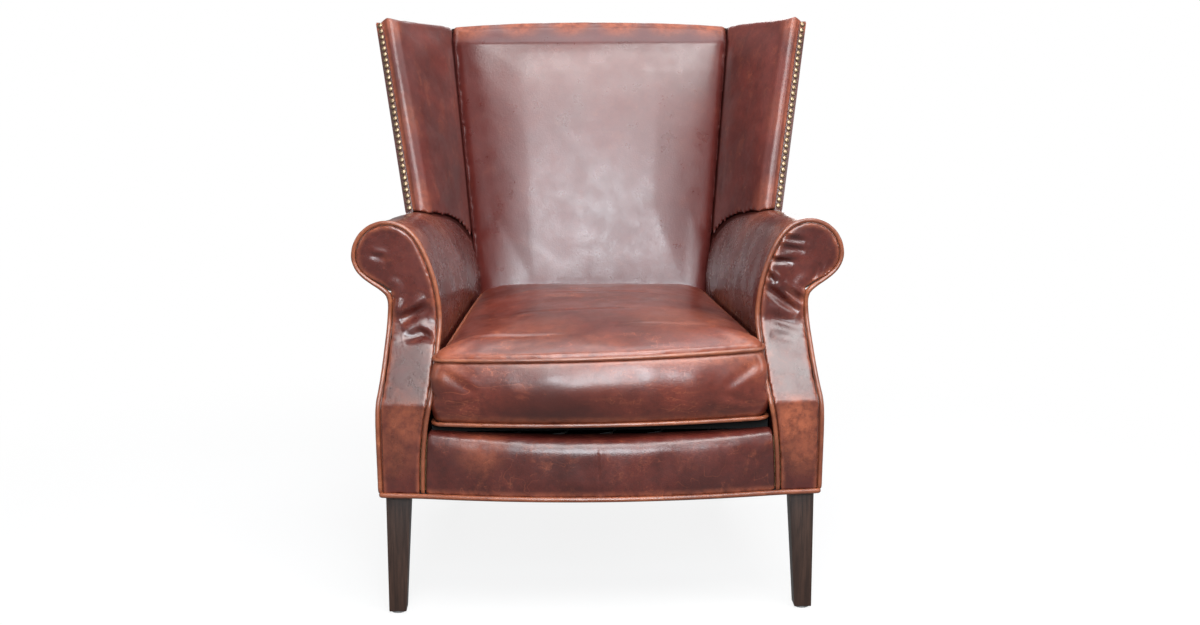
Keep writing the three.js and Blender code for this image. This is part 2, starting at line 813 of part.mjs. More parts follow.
const wingLevelCount = 8;
const wingLevels = Array.from({ length: wingLevelCount + 1 }, (_, i) =>
  THREE.MathUtils.lerp(armBoardBottom + 8, wingCornerHeight - 18, i / wingLevelCount),
);
const wingRearTop = backTopHeight - backTopDrop;

// A tower over the wing's levels, whose top edge rises and dips: plan gives functions of height, and their tops.
function wingTower(plan) {
  return tower(wingLevels, (z) =>
    plan.map(([place, top]) => {
      const height = z === wingLevels.at(-1) ? top : z;
      return [...place(height), height - z];
    }),
  );
}

function wingPost(grow = 0) {
  const high = wingCornerHeight - wingRailBelowTop;
  return tower([armBoardBottom, ...wingLevels.slice(1, -1), high + grow], (z) => [
    wingPoint(z, wingPostInset - grow, panelThickness + clearance - grow * 4),
    wingPoint(z, wingPostInset + wingPostWidth + grow, panelThickness + clearance - grow * 4),
    wingPoint(z, wingPostInset + wingPostWidth + grow, panelThickness + clearance + wingPostThickness + grow),
    wingPoint(z, wingPostInset - grow, panelThickness + clearance + wingPostThickness + grow),
  ]);
}

function wingRailBlock(grow = 0) {
  const high = wingCornerHeight - wingRailBelowTop;
  const near = wingPostInset + wingPostWidth + clearance - grow;
  const far = outerBackDepth; // past the back post
  return tower([high - wingRailHeight - grow, high + grow], (z) => [
    wingPoint(z, near, panelThickness + clearance - grow * 4),
    wingPoint(z, far, panelThickness + clearance - grow * 4),
    wingPoint(z, far, panelThickness + clearance + wingPostThickness + grow),
    wingPoint(z, near, panelThickness + clearance + wingPostThickness + grow),
  ]);
}

// The outside wing panel: flat from the front edge to the back post, then along the post's side.
function wingPanel(thickness) {
  return wingTower([
    [(z) => wingPoint(z, 0, 0), wingCornerHeight],
    [(z) => [wingRearX(z), postFront(z)], wingRearTop - 3],
    [(z) => [wingRearX(z), postRear(z)], wingRearTop - 5],
    [(z) => [wingRearX(z) - thickness, postRear(z)], wingRearTop - 5],
    [(z) => [wingRearX(z) - thickness, postFront(z) + 1], wingRearTop - 3],
    [(z) => wingPoint(z, 0, thickness), wingCornerHeight],
  ]);
}

// The padded inside of the wing: a rolled front edge, a flat inner face and a seam against the inside back.
function wingPad() {
  const skin = panelThickness + clearance;
  const seam = (z) => [backHalfWidth(z) + clearance, innerBack(z)];
  const rolled = (z) => wingPoint(z, 8, wingRoll);
  const middle = (z) => [(rolled(z)[0] + seam(z)[0]) / 2 + 3, (rolled(z)[1] + seam(z)[1]) / 2 - 4];
  return wingTower([
    [(z) => wingPoint(z, 0, skin), wingCornerHeight],
    [(z) => wingPoint(z, 0, bandWidth + 2), wingPeakHeight - 5],
    [(z) => wingPoint(z, -8, bandWidth + 9), wingPeakHeight - 1],
    [(z) => wingPoint(z, -7, wingRoll - 10), wingPeakHeight],
    [rolled, wingPeakHeight - 6],
    [middle, backTopHeight - 2],
    [seam, wingRearTop],
    [(z) => [seam(z)[0], postFront(z) - clearance], wingRearTop - 5],
    [(z) => [wingRearX(z) - skin, postFront(z) - clearance], wingRearTop - 3],
  ]);
}

function makeWings() {
  const pad = cut(wingPad(), armBody(clearance), wingPost(clearance), wingRailBlock(clearance));
  addPair("inside_wing", pad, shared.leather);

  addPair("outside_wing", cut(wingPanel(panelThickness), armBody(clearance)), shared.leather);

  const panelSpace = wingPanel(panelThickness + clearance);
  addPair("wing_post", cut(wingPost(), armBoard(clearance), panelSpace), shared.frameWood);
  const topRail = cut(wingRailBlock(), backBay(), backPad(clearance), wingPost(clearance), panelSpace);
  addPair("wing_top_rail", topRail, shared.frameWood);
  addPair("nail_band", nailBand(), shared.brass);
}

// The leather band that closes the wing's front edge, with its row of domed nails.
function nailBand() {
  const seat = -2.5 * clearance;
  const face = seat - bandThickness;
  const high = wingCornerHeight - 2;
  const band = wingTower([
    [(z) => wingPoint(z, face, 0), high],
    [(z) => wingPoint(z, seat, 0), high],
    [(z) => wingPoint(z, seat, bandWidth), high + 4],
    [(z) => wingPoint(z, face, bandWidth), high + 4],
  ]);
  let rest = solid(band).subtract(solid(armBody(clearance)));
  const dome = new THREE.LatheGeometry(
    [
      [0, -bandThickness / 2],
      [nailRadius, -bandThickness / 2],
      [nailRadius * 0.75, nailHeight * 0.7],
      [0, nailHeight],
    ].map(([r, h]) => new THREE.Vector2(r, h)),
    6,
  );
  const at = (z) => new THREE.Vector3(...wingPoint(z, face, nailInset), z);
  const low = wingFootHeight + nailRadius + 6;
  const top = high - nailRadius;
  const count = Math.floor(at(low).distanceTo(at(top)) / nailPitch) + 1;
  const up = new THREE.Vector3(0, 1, 0);
  for (let i = 0; i < count; i++) {
    const z = THREE.MathUtils.lerp(low, top, i / (count - 1));
    const place = at(z);
    const along = at(z).sub(at(z - nailRadius));
    const across = new THREE.Vector3(...wingPoint(z, face, nailInset + 1), place.z).sub(place);
    const turn = new THREE.Quaternion().setFromUnitVectors(up, along.cross(across).normalize());
    const nail = dome.clone().applyQuaternion(turn).translate(place.x, place.y, place.z);
    rest = rest.add(solid(nail));
  }
  return geometryOf(rest);
}

// Seat cushion

// Half of the cushion's outline, from the middle of its front round to the middle of its back.
function cushionOutline(inset, z) {
  const front = cushionFront + inset;
  const back = innerBack(z) - 2 - inset;
  const slope = Math.tan(armConverge);
  const half = (y) => cushionHalfWidth - slope * y - inset;
  const ear = Math.max(0, 4 - inset);
  const bow = cushionBow;
  const corner = cushionCorner;
  const path = new THREE.Path();
  path.moveTo(0, front - bow);
  path.bezierCurveTo(
    half(front) * 0.45,
    front - bow,
    half(front) * 0.75,
    front - bow * 0.35,
    half(front) - corner,
    front,
  );
  path.quadraticCurveTo(half(front) + ear, front, half(front + corner), front + corner);
  path.lineTo(half(back - corner), back - corner);
  path.quadraticCurveTo(half(back), back, half(back) - corner, back);
  path.lineTo(0, back);
  return path.getPoints(4);
}

function cushionRing(inset, z) {
  const bottom = deckTop + clearance;
  const share = THREE.MathUtils.clamp((z - bottom) / (cushionSeamHeight - bottom), 0, 1);
  const right = cushionOutline(inset, z);
  const left = right
    .slice(1, -1)
    .map((p) => new THREE.Vector2(-p.x, p.y))
    .reverse();
  const lift = (y) => (share * cushionRise * (y - cushionFront)) / (seatBackDepth - cushionFront);
  return [...right, ...left].map((p) => new THREE.Vector3(p.x, p.y, z + lift(p.y)));
}

function makeCushion() {
  const bottom = deckTop + clearance;
  const lowSeam = bottom + weltRadius;
  const topSeam = cushionSeamHeight;
  // A seam is a groove that its welt lies in.
  const groove = (z) => [
    cushionRing(weltRadius, z - weltSeat - clearance),
    cushionRing(weltRadius + weltSeat, z - clearance * 5),
    cushionRing(weltRadius + weltSeat, z + clearance * 5),
    cushionRing(weltRadius + 1, z + weltSeat + clearance),
  ];
  const body = loft([
    cushionRing(90, bottom),
    cushionRing(weltRadius + weltSeat, bottom),
    ...groove(lowSeam).slice(2),
    cushionRing(0, lowSeam + 30),
    cushionRing(0, topSeam - 30),
    ...groove(topSeam),
    cushionRing(16, topSeam + cushionCrown * 0.4),
    cushionRing(45, topSeam + cushionCrown * 0.7),
    cushionRing(100, topSeam + cushionCrown * 0.93),
    cushionRing(170, topSeam + cushionCrown),
  ]);
  add("seat_cushion", body, shared.leather);
  add("cushion_top_welt", cordRound(cushionRing(weltRadius, topSeam), weltRadius), shared.piping);
  add("cushion_bottom_welt", cordRound(cushionRing(weltRadius, lowSeam), weltRadius), shared.piping);
}

makeSeatFrame();
makeSprings();
makeDeck();
makeFrontBorder();
makeDustCover();
makeLegs();
makeArms();
makeBack();
makeWings();
makeCushion();
add("bottom_welt", bottomWelt(), shared.piping);

// The origin is on the floor under the middle of the chair.
const span = new THREE.Box3().setFromObject(chair);
chair.position.y = -(span.min.y + span.max.y) / 2;
const part = new THREE.Group();
part.add(chair);

export default part;
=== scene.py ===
"""A worn leather wing-back armchair: padded leather over a frame, piping, domed nails and tapered legs."""

import math

import bpy
import numpy as np
from mathutils import Matrix, Vector, noise
from mathutils.bvhtree import BVHTree


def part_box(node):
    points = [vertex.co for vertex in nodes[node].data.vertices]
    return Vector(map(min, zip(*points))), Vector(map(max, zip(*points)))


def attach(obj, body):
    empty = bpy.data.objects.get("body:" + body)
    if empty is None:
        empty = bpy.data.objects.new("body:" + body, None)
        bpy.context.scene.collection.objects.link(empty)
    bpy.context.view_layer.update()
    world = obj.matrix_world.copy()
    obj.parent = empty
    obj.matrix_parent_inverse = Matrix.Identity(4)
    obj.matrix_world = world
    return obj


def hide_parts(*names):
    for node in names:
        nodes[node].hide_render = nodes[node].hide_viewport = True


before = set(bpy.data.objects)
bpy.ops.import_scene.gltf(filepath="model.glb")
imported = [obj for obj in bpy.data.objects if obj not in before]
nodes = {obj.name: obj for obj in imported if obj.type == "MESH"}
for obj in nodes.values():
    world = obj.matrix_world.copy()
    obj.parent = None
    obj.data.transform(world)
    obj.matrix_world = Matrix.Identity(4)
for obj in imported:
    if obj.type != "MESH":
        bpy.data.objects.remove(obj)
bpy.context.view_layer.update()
scene = bpy.context.scene
LEFT_AND_RIGHT = ("left", "right")

# The chair's own measures, in metres. Depths count from the front face of the arm blocks.
BLOCK_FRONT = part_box("front_leg_right")[0].y - 0.009
MERGE = 0.00002
SMALL = 1e-9
CLOTH_STEPS = 20

# The sloping part of each arm front, from its knee up to the hollow corner under the scroll
KNEE_HEIGHT = 0.365
SLOPE_HEIGHT = 0.125
SLOPE_DEPTH = 0.085
NECK_CORNER = (0.346, BLOCK_FRONT + SLOPE_DEPTH, 0.548)

# Camera, solved from the photograph
CAMERA_PLACE = Vector((-0.069, BLOCK_FRONT - 2.5, 0.975))
CAMERA_YAW = math.radians(1.57)
CAMERA_PITCH = math.radians(10.37)
CAMERA_ROLL = math.radians(-0.17)
FOCAL_PIXELS = 1555.7
PHOTO_WIDTH = 1200
SENSOR = 36.0


def set_camera():
    forward = Vector(
        (
            math.sin(CAMERA_YAW) * math.cos(CAMERA_PITCH),
            math.cos(CAMERA_YAW) * math.cos(CAMERA_PITCH),
            -math.sin(CAMERA_PITCH),
        )
    )
    right = Vector((math.cos(CAMERA_YAW), -math.sin(CAMERA_YAW), 0))
    up = right.cross(forward)
    turn = Matrix((right, up, -forward)).transposed() @ Matrix.Rotation(CAMERA_ROLL, 3, "Z")
    data = bpy.data.cameras.new("camera")
    data.sensor_width = SENSOR
    data.lens = FOCAL_PIXELS / PHOTO_WIDTH * SENSOR
    camera = bpy.data.objects.new("camera", data)
    camera.matrix_world = Matrix.Translation(CAMERA_PLACE) @ turn.to_4x4()
    scene.collection.objects.link(camera)
    scene.camera = camera


# Mesh helpers


def pick(piece):
    bpy.ops.object.select_all(action="DESELECT")
    piece.select_set(True)
    bpy.context.view_layer.objects.active = piece


def worked(piece, kind, **settings):
    """Adds a modifier to the piece and applies it."""
    pick(piece)
    modifier = piece.modifiers.new(kind.lower(), kind)
    for name, value in settings.items():
        setattr(modifier, name, value)
    bpy.ops.object.modifier_apply(modifier=modifier.name)


def read_points(piece):
    points = np.empty(len(piece.data.vertices) * 3)
    piece.data.vertices.foreach_get("co", points)
    return points.reshape(-1, 3)


def write_points(piece, points):
    piece.data.vertices.foreach_set("co", points.ravel())
    piece.data.update()


def read_normals(piece):
    normals = np.empty(len(piece.data.vertices) * 3)
    piece.data.vertices.foreach_get("normal", normals)
    return normals.reshape(-1, 3)


def eased(values, low, high):
    share = np.clip((values - low) / (high - low), 0, 1)
    return share * share * (3 - 2 * share)


def copy_of(node, name):
    """A copy of a solid, merged, with no material and no stored normals."""
    mesh = nodes[node].data.copy()
    mesh.materials.clear()
    piece = bpy.data.objects.new(name, mesh)
    scene.collection.objects.link(piece)
    pick(piece)
    bpy.ops.mesh.customdata_custom_splitnormals_clear()
    bpy.ops.object.mode_set(mode="EDIT")
    bpy.ops.mesh.select_all(action="SELECT")
    bpy.ops.mesh.remove_doubles(threshold=MERGE)
    bpy.ops.object.mode_set(mode="OBJECT")
    return piece


def mirrored(piece, name):
    """The left piece made from the right one, with a mesh of its own."""
    twin = bpy.data.objects.new(name, piece.data.copy())
    scene.collection.objects.link(twin)
    points = read_points(twin)
    points[:, 0] *= -1
    write_points(twin, points)
    twin.data.flip_normals()
    return twin


def tree_of(names):
    corners = []
    faces = []
    for name in names:
        mesh = nodes[name].data
        start = len(corners)
        corners.extend(v.co.copy() for v in mesh.vertices)
        faces.extend([start + i for i in p.vertices] for p in mesh.polygons)
    return BVHTree.FromPolygons(corners, faces)


def reach(points, tree, far=0.2):
    """How far each point is from the nearest surface of the tree."""
    found = (tree.find_nearest(Vector(p), far)[3] for p in points)
    return np.array([far if distance is None else distance for distance in found])


def room_around(points, *own):
    """How far each point is from every other solid of the chair."""
    return reach(points, tree_of([name for name in nodes if name not in own]))


# Padding


def blow_up(piece, held, pressure):
    """Blows a pad up as cloth for twenty steps. Points with a held weight of one stay where they are sewn."""
    group = piece.vertex_groups.new(name="sewn")
    for index in np.nonzero(held > 0.02)[0]:
        group.add([int(index)], float(held[index]), "REPLACE")
    pick(piece)
    cloth = piece.modifiers.new("cloth", "CLOTH")
    settings = cloth.settings
    settings.quality = 4
    settings.mass = 0.3
    settings.tension_stiffness = 12
    settings.compression_stiffness = 12
    settings.shear_stiffness = 6
    settings.bending_stiffness = 0.6
    settings.use_pressure = True
    settings.uniform_pressure_force = pressure
    settings.vertex_group_mass = "sewn"
    settings.effector_weights.gravity = 0
    cloth.collision_settings.use_collision = False
    for step in range(1, CLOTH_STEPS + 1):
        scene.frame_set(step)
    bpy.ops.object.modifier_apply(modifier=cloth.name)
    scene.frame_set(1)
    piece.vertex_groups.clear()


def evened(piece, values, rounds):
    """Each point's value becomes the mean of its own and its neighbours' values, some rounds over."""
    ends = np.empty(len(piece.data.edges) * 2, int)
    piece.data.edges.foreach_get("vertices", ends)
    first, second = ends.reshape(-1, 2).T
    total = len(values)
    shares = np.bincount(ends, minlength=total) + 1
    for _ in range(rounds):
        given = np.bincount(first, values[second], total) + np.bincount(second, values[first], total)
        values = (values + given) / shares
    return values


def pad_from(node, name, grid=0.006, cap=0.01, pressure=4.0, smooth=2, shaped=None, ironed=0):
    """A padded piece: the solid's form in even small faces, blown up between its seams, then ironed."""
    piece = copy_of(node, name)
    worked(piece, "REMESH", mode="VOXEL", voxel_size=grid)
    worked(piece, "SMOOTH", factor=0.5, iterations=smooth)
    worked(piece, "SHRINKWRAP", target=nodes[node], wrap_method="NEAREST_SURFACEPOINT")
    worked(piece, "SMOOTH", factor=0.5, iterations=1)
    if shaped:
        shaped(piece)
    start = read_points(piece)
    normals = read_normals(piece)
    room = room_around(start, node)
    blow_up(piece, 1 - eased(room, 0.002, 0.018), pressure)
    shift = read_points(piece) - start
    if ironed:
        shift = normals * evened(piece, np.sum(shift * normals, axis=1), ironed)[:, None]
    length = np.linalg.norm(shift, axis=1)
    most = np.minimum(cap, np.maximum(room - 0.001, 0) * 0.55)
    kept = most * np.tanh(length / np.maximum(most, SMALL)) / np.maximum(length, SMALL)
    write_points(piece, start + shift * kept[:, None])
    worked(piece, "SUBSURF", levels=1, render_levels=1)
    return piece


def soften(piece, weights, rounds):
    """Smooths the piece where its weights are high."""
    group = piece.vertex_groups.new(name="soft")
    for index in np.nonzero(weights > 0.02)[0]:
        group.add([int(index)], float(weights[index]), "REPLACE")
    worked(piece, "SMOOTH", factor=0.5, iterations=rounds, vertex_group="soft")
    piece.vertex_groups.clear()


def waves(piece, height, size, seed, *own):
    """Slow hand-made unevenness of the padding, away from its seams."""
    points = read_points(piece)
    room = eased(reach(points, tree_of([n for n in nodes if n not in own]), 0.06), 0.002, 0.03)
    offset = Vector((seed, seed * 1.7, seed * 0.6))
    lift = np.array([noise.noise(Vector(p) / size + offset) for p in points])
    fine = np.array([noise.noise(Vector(p) / (size * 0.4) + offset) for p in points])
    shift = height * room * (lift + 0.35 * fine)
    write_points(piece, points + read_normals(piece) * shift[:, None])


def swell_near(piece, place, radius, height):
    """Fills a hollow corner of a pad or its piping."""
    points = read_points(piece)
    near = 1 - eased(np.linalg.norm(points - np.array(place), axis=1), radius * 0.3, radius)
    write_points(piece, points + read_normals(piece) * (height * near)[:, None])


def fold(piece, start, end, depth, width, flat, facing):
    """One crease with a ridge beside it. start and end lie on flat's two axes. facing is where it shows."""
    points = read_points(piece)
    normals = read_normals(piece)
    a = np.array(start)
    along = np.array(end) - a
    spot = points[:, flat] - a
    share = np.clip(spot @ along / (along @ along), 0, 1)
    away = spot - share[:, None] * along
    side = np.array((-along[1], along[0])) / np.linalg.norm(along)
    offset = away @ side
    beyond = np.linalg.norm(away - offset[:, None] * side, axis=1)
    crease = np.exp(-((offset / width) ** 2)) - 0.6 * np.exp(-(((offset - 1.7 * width) / width) ** 2))
    taper = np.sin(math.pi * np.clip(share, 0.02, 0.98)) ** 0.7 * np.exp(-((beyond / width) ** 2))
    shown = eased(normals @ np.array(facing), 0.2, 0.6)
    shift = -depth * crease * taper * shown
    write_points(piece, points + normals * shift[:, None])


# Materials


def new_material(name):
    material = bpy.data.materials.new(name)
    material.use_nodes = True
    tree = material.node_tree
    return material, tree, tree.nodes["Principled BSDF"]


def add_node(tree, kind, values=(), **settings):
    """A node with its settings and its input values by name or number. A value that is a socket is linked."""
    made = tree.nodes.new(kind)
    for key, value in settings.items():
        setattr(made, key, value)
    for key, value in dict(values).items():
        if isinstance(value, bpy.types.NodeSocket):
            tree.links.new(value, made.inputs[key])
        else:
            made.inputs[key].default_value = value
    return made


def object_place(tree, scale=(1, 1, 1), turn=(0, 0, 0)):
    place = add_node(tree, "ShaderNodeTexCoord").outputs["Object"]
    return add_node(tree, "ShaderNodeMapping", {"Vector": place, "Scale": scale, "Rotation": turn}).outputs[0]


def cloudy(tree, place, scale, detail=5.0, roughness=0.6, distortion=0.0):
    values = {
        "Vector": place,
        "Scale": scale,
        "Detail": detail,
        "Roughness": roughness,
        "Distortion": distortion,
    }
    return add_node(tree, "ShaderNodeTexNoise", values).outputs[0]


def ramped(tree, value, low, high, out_low=0.0, out_high=1.0):
    values = {"Value": value, "From Min": low, "From Max": high, "To Min": out_low, "To Max": out_high}
    return add_node(tree, "ShaderNodeMapRange", values, interpolation_type="SMOOTHSTEP").outputs[0]


def sums(tree, operation, a, b):
    return add_node(tree, "ShaderNodeMath", {0: a, 1: b}, operation=operation).outputs[0]


def blended(tree, factor, a, b, mode="MIX"):
    made = add_node(tree, "ShaderNodeMix", {"Factor": factor}, data_type="RGBA", blend_type=mode)
    for socket, value in ((made.inputs[6], a), (made.inputs[7], b)):
        if isinstance(value, bpy.types.NodeSocket):
            tree.links.new(value, socket)
        else:
            socket.default_value = (*value, 1)
    return made.outputs[2]


def hairlines(tree, place, scale, width):
    """Thin light creases, as pull-up leather gets where it is bent."""
    wandering = cloudy(tree, place, scale, 2.5, 0.55)
    away = sums(tree, "ABSOLUTE", sums(tree, "SUBTRACT", wandering, 0.5), 0.0)
    return ramped(tree, away, 0.0, width, 1.0, 0.0)


def leather(name, deep, body, worn, tan=0.5, lines=0.5, stretch=(1, 1, 1), gloss=0.33, matt=0.06):
    """Pull-up leather in its dark, usual and rubbed colours, with painted shade in its seams. matt is how
    dull it is where it is rubbed.
    """
    material, tree, shader = new_material(name)
    place = object_place(tree)
    drawn = object_place(tree, stretch)
    clouds = cloudy(tree, place, 6.0, 8.0, 0.68, 0.2)
    patches = cloudy(tree, drawn, 26.0, 8.0, 0.72, 0.3)
    mottle = cloudy(tree, place, 70.0, 6.0, 0.75)
    colour = blended(tree, ramped(tree, clouds, 0.3, 0.66), deep, body)
    light = blended(tree, 0.5, body, worn)
    colour = blended(tree, ramped(tree, patches, 0.52, 0.74, 0.0, tan), colour, light)
    colour = blended(tree, ramped(tree, mottle, 0.42, 0.68, 0.0, 0.5), colour, deep)
    crosswise = object_place(tree, (stretch[1], stretch[0] * 0.5, 1.3), (0.2, 0.5, 0.9))
    creases = hairlines(tree, drawn, 15.0, 0.006)
    where = ramped(tree, cloudy(tree, place, 14.0, 4.0), 0.47, 0.6, 0.0, 0.5)
    creases = sums(tree, "MULTIPLY", creases, where)
    fine = hairlines(tree, crosswise, 36.0, 0.012)
    fine = sums(tree, "MULTIPLY", fine, ramped(tree, patches, 0.5, 0.64, 0.0, 0.7))
    hair = hairlines(tree, drawn, 80.0, 0.022)
    hair = sums(tree, "MULTIPLY", hair, ramped(tree, clouds, 0.5, 0.64, 0.0, 0.5))
    marks = sums(tree, "MAXIMUM", creases, sums(tree, "MAXIMUM", fine, hair))
    colour = blended(tree, sums(tree, "MULTIPLY", marks, lines), colour, worn)
    rub = add_node(tree, "ShaderNodeAttribute", attribute_name="rub").outputs["Fac"]
    uneven = ramped(tree, cloudy(tree, place, 60.0, 6.0, 0.7), 0.3, 0.65, 0.25, 1.0)
    rubbed = sums(tree, "MULTIPLY", rub, uneven)
    colour = blended(tree, rubbed, colour, worn)
    # Painted shade: next to other parts the colour darkens towards a third of the deep colour, by the
    # attribute read here; there the leather is also rougher and less glossy
    seam_shade = add_node(tree, "ShaderNodeAttribute", attribute_name="seam_shade").outputs["Fac"]
    colour = blended(tree, seam_shade, colour, tuple(c * 0.35 for c in deep))
    tree.links.new(colour, shader.inputs["Base Color"])
    rough = ramped(tree, cloudy(tree, place, 24.0, 5.0), 0.3, 0.7, gloss - 0.05, gloss + 0.09)
    dull = sums(tree, "ADD", sums(tree, "MULTIPLY", rub, matt), sums(tree, "MULTIPLY", seam_shade, 0.45))
    tree.links.new(sums(tree, "ADD", rough, dull), shader.inputs["Roughness"])
    shader.inputs["IOR"].default_value = 1.52
    tree.links.new(ramped(tree, dull, 0.0, 0.35, 0.35, 0.02), shader.inputs["Coat Weight"])
    tree.links.new(ramped(tree, seam_shade, 0.0, 0.6, 0.5, 0.05), shader.inputs["Specular IOR Level"])
    shader.inputs["Coat Roughness"].default_value = 0.26
    grain = add_node(
        tree, "ShaderNodeTexVoronoi", {"Vector": place, "Scale": 620.0}, feature="SMOOTH_F1"
    ).outputs["Distance"]
    soft = cloudy(tree, place, 240.0, 4.0)
    relief = sums(tree, "ADD", sums(tree, "MULTIPLY", grain, 0.5), soft)
    relief = sums(tree, "SUBTRACT", relief, sums(tree, "MULTIPLY", marks, 0.6 * lines))
    bump = add_node(tree, "ShaderNodeBump", {"Strength": 0.22, "Distance": 0.0009, "Height": relief})
    tree.links.new(bump.outputs[0], shader.inputs["Normal"])
    return material


def dark_wood(name, dark, light, along=0.06, rough=0.42):
    material, tree, shader = new_material(name)
    place = object_place(tree, (1, 1, along))
    grain = cloudy(tree, place, 190.0, 8.0, 0.65, 0.6)
    tone = cloudy(tree, object_place(tree), 9.0, 3.0)
    colour = blended(tree, ramped(tree, grain, 0.35, 0.7), dark, light)
    colour = blended(tree, ramped(tree, tone, 0.3, 0.8, 0.0, 0.45), colour, dark)
    rub = add_node(tree, "ShaderNodeAttribute", attribute_name="rub").outputs["Fac"]
    colour = blended(tree, sums(tree, "MULTIPLY", rub, 0.6), colour, light)
    tree.links.new(colour, shader.inputs["Base Color"])
    tree.links.new(ramped(tree, grain, 0.3, 0.8, rough - 0.06, rough + 0.1), shader.inputs["Roughness"])
    bump = add_node(tree, "ShaderNodeBump", {"Strength": 0.2, "Distance": 0.0006, "Height": grain})
    tree.links.new(bump.outputs[0], shader.inputs["Normal"])
    return material


def metal(name, bright, dull, rough):
    material, tree, shader = new_material(name)
    tarnish = cloudy(tree, object_place(tree), 420.0, 5.0, 0.7)
    colour = blended(tree, ramped(tree, tarnish, 0.38, 0.68), bright, dull)
    tree.links.new(colour, shader.inputs["Base Color"])
    shader.inputs["Metallic"].default_value = 1.0
    tree.links.new(ramped(tree, tarnish, 0.3, 0.7, rough, rough + 0.2), shader.inputs["Roughness"])
    return material


def woven(name, dark, light, count):
    material, tree, shader = new_material(name)
    place = object_place(tree)
    warp = add_node(
        tree, "ShaderNodeTexWave", {"Vector": place, "Scale": count, "Distortion": 0.6}, bands_direction="X"
    ).outputs["Fac"]
    weft = add_node(
        tree, "ShaderNodeTexWave", {"Vector": place, "Scale": count, "Distortion": 0.6}, bands_direction="Y"
    ).outputs["Fac"]
    weave = sums(tree, "MULTIPLY", warp, weft)
    tree.links.new(blended(tree, weave, dark, light), shader.inputs["Base Color"])
    shader.inputs["Roughness"].default_value = 0.95
    bump = add_node(tree, "ShaderNodeBump", {"Strength": 0.4, "Distance": 0.0005, "Height": weave})
    tree.links.new(bump.outputs[0], shader.inputs["Normal"])
    return material


DEEP = (0.038, 0.0056, 0.0042)
BODY = (0.102, 0.0165, 0.0112)
WORN = (0.4, 0.108, 0.05)

finishes = {
    "back": leather(
        "back_leather",
        (0.07, 0.0105, 0.0085),
        (0.1, 0.0155, 0.012),
        WORN,
        tan=0.14,
        lines=0.06,
        gloss=0.31,
        matt=0.42,
    ),
    "cushion": leather(
        "cushion_leather",
        (0.06, 0.0095, 0.006),
        (0.155, 0.026, 0.015),
        WORN,
        tan=0.65,
        lines=0.85,
        stretch=(0.35, 1, 1.2),
    ),
    "border": leather("border_leather", DEEP, BODY, WORN, tan=0.5, lines=0.4),
    "arm": leather("arm_leather", DEEP, BODY, WORN, tan=0.45, lines=0.14, gloss=0.25),
    "wing": leather(
        "wing_leather",
        (0.06, 0.009, 0.007),
        (0.135, 0.021, 0.0145),
        WORN,
        tan=0.35,
        lines=0.3,
        stretch=(1.2, 1, 0.6),
        gloss=0.48,
    ),
    "panel": leather("panel_leather", DEEP, BODY, WORN, tan=0.35, lines=0.3),
    "piping": leather(
        "piping_leather",
        (0.12, 0.028, 0.014),
        (0.3, 0.085, 0.036),
        (0.55, 0.2, 0.09),
        tan=0.7,
        lines=0.4,
    ),
    # Darker than the other leather: the extra darkness is painted shade for the gaps between the nails
    "edge": leather(
        "nail_strip_shaded_leather",
        (0.03, 0.006, 0.0045),
        (0.085, 0.016, 0.01),
        WORN,
        tan=0.3,
        lines=0.2,
        gloss=0.5,
    ),
    "leg": dark_wood("dark_leg_wood", (0.018, 0.009, 0.0065), (0.06, 0.028, 0.018)),
    "frame": dark_wood("bare_frame_wood", (0.38, 0.23, 0.11), (0.62, 0.43, 0.24), 0.1, 0.6),
    "steel": metal("plain_steel", (0.55, 0.55, 0.56), (0.32, 0.31, 0.3), 0.3),
    "brass": metal("antique_brass", (0.43, 0.31, 0.2), (0.13, 0.085, 0.05), 0.32),
    "cloth": woven("black_lining_cloth", (0.006, 0.006, 0.006), (0.02, 0.019, 0.019), 900.0),
    "webbing": woven("jute_webbing", (0.16, 0.1, 0.055), (0.32, 0.22, 0.13), 500.0),
}


def wear(piece, spots=(), near=None, reach_out=0.012, shade_near=None):
    """Stores where the leather is rubbed and where shade is painted on it next to other parts. A spot is a
    place, a radius and a strength.
    """
    points = read_points(piece)
    rub = np.zeros(len(points))
    for place, radius, strength in spots:
        away = np.linalg.norm(points - np.array(place), axis=1)
        rub = np.maximum(rub, strength * (1 - eased(away, radius * 0.3, radius)))
    if near:
        rub = np.maximum(rub, 0.55 * (1 - eased(reach(points, tree_of(near), 0.05), 0.002, reach_out)))
    # Painted shade: up to 0.75 next to the listed parts, fading out 12 mm away from them
    seam_shade = np.zeros(len(points))
    if shade_near:
        seam_shade = 0.75 * (1 - eased(reach(points, tree_of(shade_near), 0.05), 0.0, 0.012))
    for name, values in (("rub", rub), ("seam_shade", seam_shade)):
        layer = piece.data.attributes.new(name, "FLOAT", "POINT")
        layer.data.foreach_set("value", values)


def dress(piece, finish, slot, *replaced, fill=None, angle=None):
    """Gives the piece its material and its place on the chair."""
    piece.data.materials.clear()
    piece.data.materials.append(finishes[finish])
    pick(piece)
    if angle is None:
        bpy.ops.object.shade_smooth()
    else:
        bpy.ops.object.shade_smooth_by_angle(angle=math.radians(angle))
    if replaced:
        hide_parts(*replaced)
    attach(piece, "root")


# Seat cushion: it sits a little skewed, its left front corner lower than its right one.
SEAT_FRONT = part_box("seat_cushion")[0].y
SEAT_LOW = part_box("seat_cushion")[0].z
SEAT_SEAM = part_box("cushion_top_welt")[0].z + 0.004
SKEW = 0.03
LEAST_SKEW_SHARE = 0.35
CUSHION_CROWN = 0.011
CUSHION_HALF = 0.27

# How far its left and its right corners move sideways
UPPER_SPREAD = (-0.012, 0.008)
LOWER_SPREAD = (-0.015, 0.0155)


